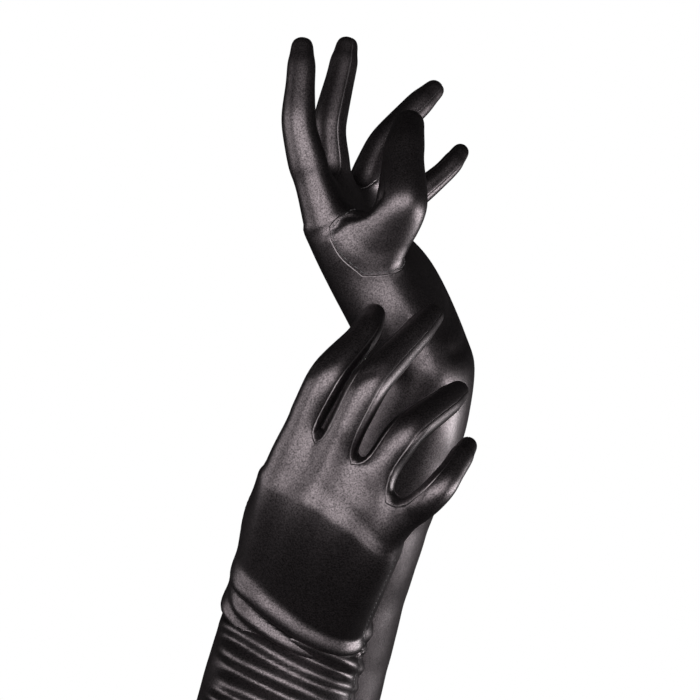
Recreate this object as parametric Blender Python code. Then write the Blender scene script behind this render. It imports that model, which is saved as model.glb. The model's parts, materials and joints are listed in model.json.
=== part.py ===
"""A pair of long satin opera gloves, held in the pose that they take when worn.

The left glove is raised with its wrist bent back.  The right glove rests over the left
one's wrist, and its sleeve is gathered along the outer seam.  Each glove is cut as real
gloves are: a trank that wraps the hand and arm, fourchettes between the fingers, a set-in
thumb, a turned hem, and an elastic tape inside the outer seam.

Lengths in the tables are millimetres.  +Z is up, the front view looks along +Y, and the
origin is the centre of the left glove's opening.
"""

import math

import bmesh
import bpy
import numpy as np

MM = 0.001

# Cloth and sewing
CLOTH = 0.7  # thickness of the stretch satin with its backing
WEB_CLOTH = 0.3  # the small pieces between the fingers are the backing alone
SEAM_GAP = 0.6  # space kept between two pieces that are sewn together
FINGER_GAP = 5.0  # space kept across a finger's base, where the stall flexes
THREAD_RADIUS = 0.45
THREAD_LIFT = 1.0  # height of a seam's thread above the cloth
THREAD_ASIDE = 1.5  # distance of the thumb's stitching from its seam
HEM_DEPTH = 14.0
TAPE_WIDTH = 6.0
TAPE_THICKNESS = 0.8
TAPE_GAP = 1.6  # the flat tape stays this far inside the rounded sleeve
INNER_GAP = 0.5  # space between the sleeve and what lies inside it

# Columns round the hand: 8 over the back, 2 on the ulnar side, 8 over the palm, 2 radial
COLUMNS = 20
BACK_FIRST, BACK_LAST, ULNAR, PALM_FIRST, PALM_LAST, RADIAL = 0, 8, 9, 10, 18, 19
CORNER_DEG = 25.0  # how far the first column of the back stands above the hand's edge
FINGERS = ("index", "middle", "ring", "little")
UP = np.array([0.0, 0.0, 1.0])

# Radius of each digit at its base, at its joints in turn, and just before its tip
FINGER_RADII = {
    "index": (9.3, 8.5, 7.2, 6.0),
    "middle": (9.5, 8.6, 7.4, 6.2),
    "ring": (9.1, 8.2, 7.2, 6.0),
    "little": (8.0, 6.9, 6.0, 5.2),
    "thumb": (12.0, 9.8, 7.8),
}
WEB_SHARE = 0.45  # how far along its first bone a finger parts from the hand
WEB_FARTHEST = 19.0
WEB_DEPTH = 5.0  # how far the cloth of the back reaches down between two fingers
STUB = 4.0  # length of a finger that belongs to the hand
JOINT_ROUNDING = 6.0
THUMB_HOLE_ROWS = (0, 3)  # from the first of the palm's rows to the fourth
THUMB_HOLE_COLUMNS = (16, 17, 18, 19)
THUMB_MOUND = (0.36, 0.70)  # rings between the hole and the thumb's stall
THUMB_LIFT = 9.0
SLEEVE_ROWS = 13

# Joint centres of each hand.  A digit runs from its knuckle to its tip.  rows are the
# palm's rings, as shares of the way from the knuckles to the wrist.  girth gives half the
# sleeve's breadth and thickness against the share of its length above the hem.
LEFT = {
    "name": "left",
    "turn": -1.0,
    "rows": (0.02, 0.14, 0.26, 0.39, 0.60, 0.80),
    "wrist": (74, -62, 350),
    "index": [(31, -90, 417), (20, -94, 459), (21, -90, 482), (21, -83, 503)],
    "middle": [(35, -70, 418), (32, -66, 461), (37, -59, 487), (40, -54, 504)],
    "ring": [(42, -50, 416), (55, -43, 455), (70, -34, 473), (83, -25, 486)],
    "little": [(50, -34, 412), (73, -24, 433), (87, -16, 446), (96, -8, 458)],
    "thumb": [(53, -90, 389), (66, -98, 424), (67, -84, 447), (71, -66, 466)],
    "sleeve": [(74, -62, 350), (45, -34, 262), (23, -16, 183), (7, -4, 100), (0, 0, 0)],
    "girth": [(1.0, 28, 21), (0.82, 31, 25), (0.6, 36, 31), (0.3, 41, 37), (0.0, 43, 41)],
}
RIGHT = {
    "name": "right",
    "turn": 1.0,
    "rows": (0.10, 0.27, 0.44, 0.61, 0.76, 0.89),
    "wrist": (18, -92, 239),
    "index": [(14, -137, 312), (31, -142, 351), (44, -126, 368), (53, -111, 380)],
    "middle": [(30, -145, 306), (50, -148, 347), (68, -128, 365), (80, -111, 378)],
    "ring": [(44, -145, 296), (65, -147, 327), (81, -125, 337), (91, -107, 344)],
    "little": [(57, -142, 284), (76, -160, 304), (84, -150, 315), (92, -138, 325)],
    "thumb": [(6, -108, 256), (14, -80, 296), (25, -63, 322), (39, -59, 347)],
    "sleeve": [(18, -92, 239), (9, -97, 207), (-3, -104, 150), (-12, -110, 80), (-16, -112, 0)],
    "girth": [(1.0, 31, 24), (0.8, 34, 29), (0.55, 38, 34), (0.3, 41, 38), (0.0, 43, 41)],
}


SATIN_COLOUR = (0.012, 0.010, 0.011, 1.0)
ELASTIC_COLOUR = (0.02, 0.02, 0.02, 1.0)
THREAD_COLOUR = (0.03, 0.028, 0.03, 1.0)


def unit(vector):
    """The vector at length 1."""
    return vector / np.linalg.norm(vector)


def across(vector, axis):
    """The vector's part at right angles to the axis, at length 1."""
    return unit(vector - axis * np.dot(vector, axis))


def curve_point(points, t):
    """A point on the smooth curve through the points, t from 0 to 1."""
    spans = len(points) - 1
    span = min(int(t * spans), spans - 1)
    u = t * spans - span
    p1, p2 = points[span], points[span + 1]
    p0 = points[span - 1] if span else 2 * p1 - p2
    p3 = points[span + 2] if span + 2 <= spans else 2 * p2 - p1
    return 0.5 * (
        2 * p1
        + (p2 - p0) * u
        + (2 * p0 - 5 * p1 + 4 * p2 - p3) * u**2
        + (3 * p1 - p0 - 3 * p2 + p3) * u**3
    )


def even_curve(points, count):
    """Evenly spaced points on the smooth curve, count of them after the first."""
    fine = np.array([curve_point(points, k / 200) for k in range(201)])
    run = np.concatenate([[0], np.cumsum(np.linalg.norm(np.diff(fine, axis=0), axis=1))])
    wanted = np.linspace(0, run[-1], count + 1)
    return np.column_stack([np.interp(wanted, run, fine[:, axis]) for axis in range(3)])


def column_angles():
    """The angle of each column round the hand, from the radial edge over the back."""
    back = np.linspace(CORNER_DEG, 180 - CORNER_DEG, 9)
    return np.radians(np.concatenate([back, [180], back + 180, [360]]))


class Cage:
    """The glove's surface as named quads: vertices in millimetres, faces with a label each."""

    def __init__(self):
        self.points = []
        self.faces = []
        self.labels = []

    def add_points(self, points):
        first = len(self.points)
        self.points.extend(np.asarray(p, float) for p in points)
        return list(range(first, len(self.points)))

    def add_face(self, corners, label):
        self.faces.append(tuple(corners))
        self.labels.append(label)

    def add_strip(self, low, high, labels):
        """Quads between two closed rings; labels gives one name for each column."""
        count = len(low)
        for k in range(count):
            n = (k + 1) % count
            self.add_face((low[k], low[n], high[n], high[k]), labels[k])

    def normals(self):
        """Each vertex's normal over the whole surface, its faces weighted by their angles."""
        points = np.array(self.points)
        total = np.zeros_like(points)
        for face in self.faces:
            for k, i in enumerate(face):
                before = points[face[k - 1]] - points[i]
                after = points[face[(k + 1) % 4]] - points[i]
                normal = np.cross(after, before)
                angle = math.atan2(np.linalg.norm(normal), np.dot(after, before))
                total[i] += unit(normal) * angle
        return total / np.maximum(np.linalg.norm(total, axis=1), 1e-9)[:, None]

    def face_outwards(self):
        """Turns every face if the surface is inside out."""
        points = np.array(self.points)
        centre = points.mean(axis=0)
        volume = 0.0
        for face in self.faces:
            a, b, c, d = (points[i] - centre for i in face)
            volume += np.dot(a, np.cross(b, c)) + np.dot(a, np.cross(c, d))
        if volume < 0:
            self.faces = [face[::-1] for face in self.faces]


def bend_stations(before, joint, after, radius):
    """Three rings that carry a digit round a joint."""
    first = joint - before * JOINT_ROUNDING
    last = joint + after * JOINT_ROUNDING
    turn = (first + last + 2 * joint) / 4
    return [(first, radius * 1.02), (turn, radius), (last, radius * 0.99)]


def end_stations(joints, radii):
    """The rings of a stall from its middle joint to its tip."""
    *before, tip = joints
    along = [unit(b - a) for a, b in zip(joints, joints[1:])]
    stations = []
    for k, joint in enumerate(before[1:]):
        stations += bend_stations(along[k], joint, along[k + 1], radii[k])
    for back, share in ((9.0, 1.0), (4.5, 0.80), (1.6, 0.48)):
        stations.append((tip - along[-1] * back, radii[-1] * share))
    return stations


def station_frames(stations, tip, side, turn):
    """For each station: the direction along the digit, its side and its back."""
    centres = [c for c, _ in stations] + [tip]
    frames = []
    for k in range(len(stations)):
        before = centres[max(k - 1, 0)]
        along = unit(centres[k + 1] - before)
        side = across(side, along)
        frames.append((along, side, turn * np.cross(side, along)))
    return frames


def ring_points(centre, side, back, half_side, half_back, angles):
    """Points of an ellipse, by angle from -side over the back."""
    return [
        centre - side * half_side * math.cos(a) + back * half_back * math.sin(a)
        for a in angles
    ]


def hand_axes(glove):
    """The hand's side axis (radial to ulnar), its back's direction and its own direction."""
    wrist = np.array(glove["wrist"], float)
    knuckles = [np.array(glove[name][0], float) for name in FINGERS]
    along = unit(sum(knuckles) / 4 - wrist)
    side = across(knuckles[3] - knuckles[0], along)
    return along, side, glove["turn"] * np.cross(side, along)


def knuckle_ring(glove, side, back):
    """The ring of the hand through the four knuckles, with a shallow valley between them."""
    knuckles = [np.array(glove[name][0], float) for name in FINGERS]
    ring = [None] * COLUMNS
    for j, knuckle in enumerate(knuckles):
        ring[2 * j + 1] = knuckle + 11.0 * back
        ring[17 - 2 * j] = knuckle - 12.5 * back
    for j in range(3):
        between = (knuckles[j] + knuckles[j + 1]) / 2
        ring[2 * j + 2] = between + 9.0 * back
        ring[16 - 2 * j] = between - 13.0 * back
    for knuckle, out, high, middle, low in (
        (knuckles[0], -side, BACK_FIRST, RADIAL, PALM_LAST),
        (knuckles[3], side, BACK_LAST, ULNAR, PALM_FIRST),
    ):
        ring[high] = knuckle + 7.5 * out + 7.5 * back
        ring[middle] = knuckle + 10.5 * out
        ring[low] = knuckle + 7.5 * out - 9.0 * back
    return ring


def finger_axes(glove, name, hand_side):
    """The finger's direction, side and back at its base."""
    knuckle, middle = (np.array(p, float) for p in glove[name][:2])
    along = unit(middle - knuckle)
    side = across(hand_side, along)
    return along, side, glove["turn"] * np.cross(side, along)


def finger_base(glove, name):
    """The centre of a finger where it parts from the hand."""
    knuckle, middle = (np.array(p, float) for p in glove[name][:2])
    length = np.linalg.norm(middle - knuckle)
    return knuckle + unit(middle - knuckle) * min(WEB_SHARE * length, WEB_FARTHEST)


def web_ring(glove, hand_side):
    """The last ring of the hand, and the three points where neighbouring fingers part."""
    corner = math.sqrt(0.5)
    bases = []
    for name in FINGERS:
        along, side, back = finger_axes(glove, name, hand_side)
        bases.append((finger_base(glove, name), along, side, back, FINGER_RADII[name][0]))
    ring = [None] * COLUMNS
    for j, (centre, along, side, back, radius) in enumerate(bases):
        ring[2 * j + 1] = centre + radius * back - 2.0 * along
        ring[17 - 2 * j] = centre - radius * back + 1.5 * along
    webs = []
    for j in range(3):
        parts = []
        for (centre, along, side, back, radius), out in ((bases[j], 1), (bases[j + 1], -1)):
            parts.append(
                (
                    centre + corner * radius * (out * side + back) - WEB_DEPTH * along,
                    centre + radius * out * side + 0.5 * along,
                    centre + corner * radius * (out * side - back) - 2.0 * along,
                )
            )
        high, middle, low = ((a + b) / 2 for a, b in zip(*parts))
        ring[2 * j + 2] = high
        ring[16 - 2 * j] = low
        webs.append(middle)
    for (centre, along, side, back, radius), out, high, middle, low in (
        (bases[0], -1, BACK_FIRST, RADIAL, PALM_LAST),
        (bases[3], 1, BACK_LAST, ULNAR, PALM_FIRST),
    ):
        ring[high] = centre + corner * radius * (out * side + back)
        ring[middle] = centre + radius * out * side
        ring[low] = centre + corner * radius * (out * side - back)
    return ring, webs


def sleeve_frames(glove, hand_side):
    """Centre, side and back at each sleeve ring, from the wrist to the hem."""
    centres = even_curve([np.array(p, float) for p in glove["sleeve"]], SLEEVE_ROWS)
    knuckles = sum(np.array(glove[name][0], float) for name in FINGERS) / 4
    above = [knuckles, *centres[:-1]]
    below = [*centres[1:], centres[-1] - UP]
    frames = []
    side = hand_side
    for centre, before, after in zip(centres, above, below):
        along = unit(unit(before - centre) + unit(centre - after))
        if after is below[-1]:
            along = UP
        side = across(side, along)
        frames.append((centre, side, glove["turn"] * np.cross(side, along)))
    return frames


def sleeve_half_widths(glove, t):
    """Half the sleeve's breadth and thickness, t = 0 at the wrist and 1 at the hem."""
    table = sorted(glove["girth"])
    places = [row[0] for row in table]
    return [np.interp(1 - t, places, [row[k] for row in table]) for k in (1, 2)]


def palm_bulge(column, t, side, back):
    """How far the hand stands proud of straight lines from knuckle to wrist."""
    rise = math.sin(math.pi * min(t, 1.0))
    if PALM_FIRST <= column <= PALM_LAST:
        heel = 1.0 - abs(column - 14) / 6.0
        return -back * rise * (6.0 - 3.0 * heel)
    if column in (RADIAL, BACK_FIRST):
        return -side * rise * 2.0
    return back * rise * 1.0


def add_hand(cage, glove):
    """The sleeve, the hand and the rings that the fingers and the thumb are joined to."""
    _, side, back = hand_axes(glove)
    angles = column_angles()
    trank = ["trank_sleeve"] * COLUMNS
    rings = []
    for k, (centre, s, b) in enumerate(sleeve_frames(glove, side)):
        half_side, half_back = sleeve_half_widths(glove, k / SLEEVE_ROWS)
        rings.append(cage.add_points(ring_points(centre, s, b, half_side, half_back, angles)))
    above, hem = (np.array([cage.points[i] for i in ring]) for ring in rings[-2:])
    part_up = HEM_DEPTH / (above - hem)[:, 2].mean()
    rings.insert(-1, cage.add_points(hem + (above - hem) * part_up))
    for high, low in zip(rings, rings[1:]):
        cage.add_strip(low, high, trank)

    knuckle = knuckle_ring(glove, side, back)
    wrist = [cage.points[i] for i in rings[0]]
    palm_rings = []
    for t in glove["rows"]:
        row = [
            knuckle[c] * (1 - t) + wrist[c] * t + palm_bulge(c, t, side, back)
            for c in range(COLUMNS)
        ]
        palm_rings.append(cage.add_points(row))
    knuckles = cage.add_points(knuckle)
    web_points, middles = web_ring(glove, side)
    web = cage.add_points(web_points)
    webs = cage.add_points(middles)

    hand = ["trank_hand"] * COLUMNS
    cage.add_strip(rings[0], palm_rings[-1], hand)
    for row in range(len(palm_rings) - 1):
        labels = list(hand)
        if THUMB_HOLE_ROWS[0] <= row < THUMB_HOLE_ROWS[1]:
            for column in THUMB_HOLE_COLUMNS[:-1]:
                labels[column] = "thumb_hole"
        cage.add_strip(palm_rings[row + 1], palm_rings[row], labels)
    cage.add_strip(palm_rings[0], knuckles, hand)
    cage.add_strip(knuckles, web, hand)
    kept = [k for k, label in enumerate(cage.labels) if label != "thumb_hole"]
    cage.faces = [cage.faces[k] for k in kept]
    cage.labels = [cage.labels[k] for k in kept]
    return {
        "sleeve": rings,
        "palm": palm_rings,
        "knuckles": knuckles,
        "web": web,
        "webs": webs,
        "side": side,
        "back": back,
    }


def finger_labels(name, stub):
    """Names of a finger's eight columns: back, ulnar side, palm and radial side."""
    place = FINGERS.index(name)
    back = palm = "trank_hand" if stub else f"{name}_trank"
    if stub:
        ulnar = f"web_{name}_{FINGERS[place + 1]}" if place < 3 else "trank_hand"
        radial = f"web_{FINGERS[place - 1]}_{name}" if place else "trank_hand"
    else:
        ulnar = f"{name}_fourchette_ulnar" if place < 3 else f"{name}_trank"
        radial = f"{name}_fourchette_radial" if place else f"{name}_trank"
        if name in ("middle", "ring"):
            back, palm = f"{name}_back", f"{name}_palm"
    return [back] * 2 + [ulnar] * 2 + [palm] * 2 + [radial] * 2


def add_finger(cage, glove, hand, name):
    """One finger stall: its base ring is part of the hand's web ring."""
    place = FINGERS.index(name)
    joints = [np.array(p, float) for p in glove[name]]
    _, side, _ = finger_axes(glove, name, hand["side"])
    along = unit(joints[1] - joints[0])
    base, *ends = FINGER_RADII[name]
    start = finger_base(glove, name) + along * STUB
    stations = [(start, base), (start + along * FINGER_GAP, base)] + end_stations(joints, ends)
    frames = station_frames(stations, joints[3], side, glove["turn"])
    web, webs = hand["web"], hand["webs"]
    low = [
        web[2 * place],
        web[2 * place + 1],
        web[2 * place + 2],
        webs[place] if place < 3 else web[ULNAR],
        web[16 - 2 * place],
        web[17 - 2 * place],
        web[18 - 2 * place],
        webs[place - 1] if place else web[RADIAL],
    ]
    angles = np.radians(np.arange(8) * 45.0 + 45.0)
    rings = [low]
    for k, ((centre, radius), (_, s, b)) in enumerate(zip(stations, frames)):
        high = cage.add_points(ring_points(centre, s, b, radius, radius, angles))
        if k == 0:
            labels = finger_labels(name, True)
        elif k == 1:
            labels = [f"{name}_flex"] * 8
        else:
            labels = finger_labels(name, False)
        cage.add_strip(low, high, labels)
        low = high
        rings.append(high)
    (tip,) = cage.add_points([joints[3]])
    labels = finger_labels(name, False)
    for k in range(0, 8, 2):
        cage.add_face((low[k], low[k + 1], low[(k + 2) % 8], tip), labels[k])
    return rings


def thumb_hole(hand):
    """The closed loop of the hand's points round the thumb's hole."""
    first, last = THUMB_HOLE_ROWS
    rows = hand["palm"]
    left, right = THUMB_HOLE_COLUMNS[0], THUMB_HOLE_COLUMNS[-1]
    loop = [rows[first][c] for c in THUMB_HOLE_COLUMNS]
    loop += [rows[r][right] for r in range(first + 1, last)]
    loop += [rows[last][c] for c in reversed(THUMB_HOLE_COLUMNS)]
    loop += [rows[r][left] for r in range(last - 1, first, -1)]
    return loop[::-1]


def loop_angles(loop, centre, side, back):
    """Evenly spaced ring angles, turned to fit the loop's points as closely as they can."""
    seen = [math.atan2(np.dot(p - centre, back), np.dot(p - centre, side)) for p in loop]
    turned = np.sum(np.sin(np.diff(seen)))
    steps = math.copysign(1.0, turned) * np.arange(len(loop)) * 2 * math.pi / len(loop)
    offset = math.atan2(np.sum(np.sin(seen - steps)), np.sum(np.cos(seen - steps)))
    return math.pi - (offset + steps)


def add_thumb(cage, glove, hand):
    """The set-in thumb: a mound that grows out of the hole, then a stall."""
    loop = thumb_hole(hand)
    hole = np.array([cage.points[i] for i in loop])
    centre = hole.mean(axis=0)
    root, *joints = [np.array(p, float) for p in glove["thumb"]]
    base, *ends = FINGER_RADII["thumb"]
    into, after = unit(joints[0] - root), unit(joints[1] - joints[0])
    half = 0.6 * FINGER_GAP
    stations = [(joints[0] - into * half, base), (joints[0] + after * half, base)]
    stations += end_stations(joints, ends)
    side = across(hole[0] - centre, unit(joints[0] - centre))
    frames = station_frames(stations, joints[-1], side, 1.0)
    _, s, b = frames[0]
    angles = loop_angles(hole, centre, s, b)
    first = ring_points(stations[0][0], s, b, base, base, angles)
    outward = unit(joints[0] - centre)
    rings = [loop]
    for t in THUMB_MOUND:
        row = []
        for start, end in zip(hole, first):
            lift = start + outward * THUMB_LIFT
            lead = end - into * THUMB_LIFT
            near, far = (1 - t) ** 2, t**2
            row.append(near * (start * (1 - t) + 3 * t * lift))
            row[-1] += far * (3 * (1 - t) * lead + end * t)
        rings.append(cage.add_points(row))
    for (middle, radius), (_, s, b) in zip(stations, frames):
        rings.append(cage.add_points(ring_points(middle, s, b, radius, radius, angles)))
    flex = len(THUMB_MOUND) + 1
    for k, (low, high) in enumerate(zip(rings, rings[1:])):
        label = "thumb_base" if k < flex else "thumb_flex" if k == flex else "thumb_stall"
        cage.add_strip(low, high, [label] * 12)
    (tip,) = cage.add_points([joints[-1]])
    last = rings[-1]
    for k in range(0, 12, 2):
        cage.add_face((last[k], last[k + 1], last[(k + 2) % 12], tip), "thumb_stall")


def object_from_mesh(name, points, faces, colour, roughness):
    """A named object with its own material, from points in millimetres."""
    mesh = bpy.data.meshes.new(name)
    mesh.from_pydata([tuple(p * MM) for p in points], [], faces)
    work = bmesh.new()
    work.from_mesh(mesh)
    bmesh.ops.recalc_face_normals(work, faces=work.faces)
    work.to_mesh(mesh)
    work.free()
    mesh.shade_smooth()
    material = bpy.data.materials.new(name)
    material.use_nodes = True
    shader = material.node_tree.nodes["Principled BSDF"]
    shader.inputs["Base Color"].default_value = colour
    shader.inputs["Roughness"].default_value = roughness
    shader.inputs["Metallic"].default_value = 0.0
    mesh.materials.append(material)
    obj = bpy.data.objects.new(name, mesh)
    bpy.context.scene.collection.objects.link(obj)
    return obj


def cloth_panel(name, cage, normals, picked, cuts=()):
    """One piece of cloth: the picked faces, drawn back from their edges and given thickness.

    cuts holds pairs of points whose shared edge is a seam inside the picked faces.
    """
    cut = {frozenset(pair) for pair in cuts}
    copies = {}
    faces = []
    if cut:
        faces = split_faces(cage, picked, cut, copies)
    else:
        for k in picked:
            faces.append([copies.setdefault((i, 0), (i, len(copies)))[1] for i in cage.faces[k]])
    source = [None] * len(copies)
    for i, place in copies.values():
        source[place] = i
    outer = np.array([cage.points[i] for i in source])
    normal = np.array([normals[i] for i in source])

    edges = {}
    for face in faces:
        for a, b in zip(face, face[1:] + face[:1]):
            edges.setdefault(frozenset((a, b)), []).append((a, b))
    rim = [users[0] for users in edges.values() if len(users) == 1]
    pull = {i: np.zeros(3) for pair in rim for i in pair}
    for face in faces:
        middle = np.mean([outer[i] for i in face], axis=0)
        for a, b in zip(face, face[1:] + face[:1]):
            if len(edges[frozenset((a, b))]) == 1:
                inwards = across(middle - outer[a], unit(outer[b] - outer[a]))
                pull[a] += inwards
                pull[b] += inwards
    moved = outer.copy()
    for i, direction in pull.items():
        mitre = 2 / max(np.linalg.norm(direction), 1.0)
        moved[i] += across(direction, normal[i]) * SEAM_GAP / 2 * mitre
    inner = moved - normal * (WEB_CLOTH if "_web_" in name else CLOTH)
    count = len(moved)
    solid = []
    for a, b, c, d in faces:
        split = [(a, b, c), (a, c, d)]
        if np.linalg.norm(outer[b] - outer[d]) < np.linalg.norm(outer[a] - outer[c]):
            split = [(a, b, d), (b, c, d)]
        solid += split
        solid += [tuple(i + count for i in reversed(part)) for part in split]
    solid += [(b, a, a + count, b + count) for a, b in rim]
    return object_from_mesh(name, [*moved, *inner], solid, SATIN_COLOUR, 0.4)


def split_faces(cage, picked, cut, copies):
    """Faces over new points, with the points on a cut edge doubled, one for each side."""
    around = {}
    for k in picked:
        for i in cage.faces[k]:
            around.setdefault(i, []).append(k)
    side_of = {}
    for i, users in around.items():
        groups = []
        for k in users:
            joined = []
            for group in groups:
                if any(share_open_edge(cage, i, k, other, cut) for other in group):
                    joined.append(group)
            merged = [k] + [other for g in joined for other in g]
            groups = [g for g in groups if g not in joined] + [merged]
        for number, group in enumerate(groups):
            for k in group:
                side_of[(i, k)] = number
    faces = []
    for k in picked:
        face = []
        for i in cage.faces[k]:
            key = (i, side_of[(i, k)])
            face.append(copies.setdefault(key, (i, len(copies)))[1])
        faces.append(face)
    return faces


def share_open_edge(cage, point, first, second, cut):
    """Whether two faces meet along an uncut edge at the point."""
    shared = set(cage.faces[first]) & set(cage.faces[second]) - {point}
    return any(frozenset((point, other)) not in cut for other in shared)


def thread(name, line):
    """A thread: a thin four-sided tube along a line of points in millimetres."""
    count = len(line)
    points, faces = [], []
    side = np.array([0.31, 0.52, 0.79])
    for k in range(count):
        along = unit(line[min(k + 1, count - 1)] - line[max(k - 1, 0)])
        side = across(side, along)
        other = np.cross(along, side)
        points += [line[k] + THREAD_RADIUS * d for d in (side, other, -side, -other)]
    for k in range(count - 1):
        for n in range(4):
            m = (n + 1) % 4
            faces.append((4 * k + n, 4 * k + m, 4 * k + 4 + m, 4 * k + 4 + n))
    last = 4 * (count - 1)
    faces += [(0, 1, 2, 3), (last + 3, last + 2, last + 1, last)]
    return object_from_mesh(name, points, faces, THREAD_COLOUR, 0.6)


def lifted(cage, normals, loop, lift):
    """The loop's points, moved out along the surface's normals."""
    return [cage.points[i] + normals[i] * lift for i in loop]


def beside(cage, point, label):
    """A place for stitching beside a seam's point, on the piece of cloth with the label."""
    here = cage.points[point]
    middle, normal = np.zeros(3), np.zeros(3)
    for face, other in zip(cage.faces, cage.labels):
        if other == label and point in face:
            a, b, c, d = (cage.points[i] for i in face)
            middle += unit((a + b + c + d) / 4 - here)
            normal += unit(np.cross(c - a, d - b))
    normal = unit(normal)
    return here + across(middle, normal) * THREAD_ASIDE + normal * THREAD_LIFT


def add_hem(cage, normals, hand, prefix):
    """The turned hem: a band inside the sleeve's end, level with it."""
    high, low = hand["sleeve"][-2:]
    points = []
    for ring, inset in ((low, 0), (high, 0), (high, 1), (low, 1)):
        depth = CLOTH + INNER_GAP + CLOTH * inset
        points += [cage.points[i] - across(normals[i], UP) * depth for i in ring]
    faces = []
    for ring in range(4):
        for k in range(COLUMNS):
            n = (k + 1) % COLUMNS
            here, there = ring * COLUMNS, (ring + 1) % 4 * COLUMNS
            faces.append((here + k, here + n, there + n, there + k))
    return object_from_mesh(f"{prefix}_hem_band", points, faces, SATIN_COLOUR, 0.45)


def add_tape(cage, normals, hand, prefix):
    """The elastic tape that gathers the outer seam, inside the sleeve."""
    points, faces = [], []
    rows = [ring[ULNAR] for ring in hand["sleeve"][:-2]]
    for k, i in enumerate(rows):
        after = rows[min(k + 1, len(rows) - 1)]
        before = rows[max(k - 1, 0)]
        along = unit(cage.points[before] - cage.points[after])
        normal = across(normals[i], along)
        width = np.cross(along, normal) * TAPE_WIDTH / 2
        top = cage.points[i] - normal * (CLOTH + TAPE_GAP)
        low = top - normal * TAPE_THICKNESS
        points += [top - width, top + width, low + width, low - width]
    for k in range(len(rows) - 1):
        for n in range(4):
            m = (n + 1) % 4
            faces.append((4 * k + n, 4 * k + m, 4 * k + 4 + m, 4 * k + 4 + n))
    last = 4 * (len(rows) - 1)
    faces += [(0, 1, 2, 3), (last + 3, last + 2, last + 1, last)]
    return object_from_mesh(f"{prefix}_seam_elastic", points, faces, ELASTIC_COLOUR, 0.7)


def outer_seam(hand, little):
    """The points of the outer seam, from the little finger's stub to the hem."""
    rows = [little[1][3], little[0][3], hand["knuckles"][ULNAR]]
    rows += [ring[ULNAR] for ring in hand["palm"]]
    rows += [ring[ULNAR] for ring in hand["sleeve"]]
    return rows


def build_glove(glove):
    """Every piece of one glove."""
    prefix = glove["name"]
    cage = Cage()
    hand = add_hand(cage, glove)
    fingers = {name: add_finger(cage, glove, hand, name) for name in FINGERS}
    add_thumb(cage, glove, hand)
    cage.face_outwards()
    normals = cage.normals()

    seam = outer_seam(hand, fingers["little"])
    cuts = list(zip(seam, seam[1:]))
    for label in sorted(set(cage.labels)):
        if label.endswith("_flex"):
            continue
        picked = [k for k, other in enumerate(cage.labels) if other == label]
        used = cuts if label in ("trank_hand", "trank_sleeve") else ()
        cloth_panel(f"{prefix}_{label}", cage, normals, picked, used)

    add_hem(cage, normals, hand, prefix)
    add_tape(cage, normals, hand, prefix)
    seam_line = lifted(cage, normals, seam[:-1], THREAD_LIFT)
    thread(f"{prefix}_outer_seam_thread", seam_line)
    sewn = thumb_hole(hand)[: -len(THUMB_HOLE_COLUMNS)]
    thread(f"{prefix}_thumb_seam_thread", [beside(cage, i, "trank_hand") for i in sewn])


def clear_scene():
    """Removes every object of the startup scene."""
    for obj in list(bpy.data.objects):
        bpy.data.objects.remove(obj)


clear_scene()
for pair_member in (LEFT, RIGHT):
    build_glove(pair_member)
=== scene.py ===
"""Looks for a pair of black satin opera gloves, raised as they are when worn.

The cloth follows the CAD model's hands, but its outline is moved by up to a few millimetres
where the photograph's differs.  Each glove is first one fine surface, which is gathered and
creased, then cut along its seams into the glove's pieces.
Lengths are millimetres unless a name ends in _M; +Z is up and the front view looks along +Y.
"""

import json
import math
import random

import bpy
import numpy as np
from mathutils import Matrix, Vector
from mathutils.bvhtree import BVHTree

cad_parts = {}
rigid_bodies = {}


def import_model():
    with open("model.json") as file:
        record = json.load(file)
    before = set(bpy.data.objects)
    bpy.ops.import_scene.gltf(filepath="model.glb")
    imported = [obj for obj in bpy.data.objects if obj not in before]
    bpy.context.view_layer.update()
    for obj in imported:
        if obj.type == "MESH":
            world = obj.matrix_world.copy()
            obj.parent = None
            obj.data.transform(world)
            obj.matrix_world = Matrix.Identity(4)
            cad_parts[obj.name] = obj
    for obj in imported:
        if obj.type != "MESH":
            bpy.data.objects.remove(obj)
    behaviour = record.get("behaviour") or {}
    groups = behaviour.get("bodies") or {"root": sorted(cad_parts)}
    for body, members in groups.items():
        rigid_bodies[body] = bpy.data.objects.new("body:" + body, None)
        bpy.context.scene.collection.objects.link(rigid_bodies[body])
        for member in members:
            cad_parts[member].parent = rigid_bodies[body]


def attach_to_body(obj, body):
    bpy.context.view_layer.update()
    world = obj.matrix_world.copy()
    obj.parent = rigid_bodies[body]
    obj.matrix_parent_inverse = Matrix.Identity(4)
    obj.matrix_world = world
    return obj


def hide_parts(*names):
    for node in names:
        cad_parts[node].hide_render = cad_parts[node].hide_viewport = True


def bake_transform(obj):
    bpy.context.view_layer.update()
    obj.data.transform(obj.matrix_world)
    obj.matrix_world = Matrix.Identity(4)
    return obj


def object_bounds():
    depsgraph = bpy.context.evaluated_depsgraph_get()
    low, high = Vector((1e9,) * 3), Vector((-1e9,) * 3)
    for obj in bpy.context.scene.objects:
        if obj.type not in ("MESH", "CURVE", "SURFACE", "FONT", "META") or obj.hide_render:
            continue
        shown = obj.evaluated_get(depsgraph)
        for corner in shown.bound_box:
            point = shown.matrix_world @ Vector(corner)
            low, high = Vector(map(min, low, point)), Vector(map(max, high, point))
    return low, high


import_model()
cad_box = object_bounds()

MM = 0.001

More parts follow.
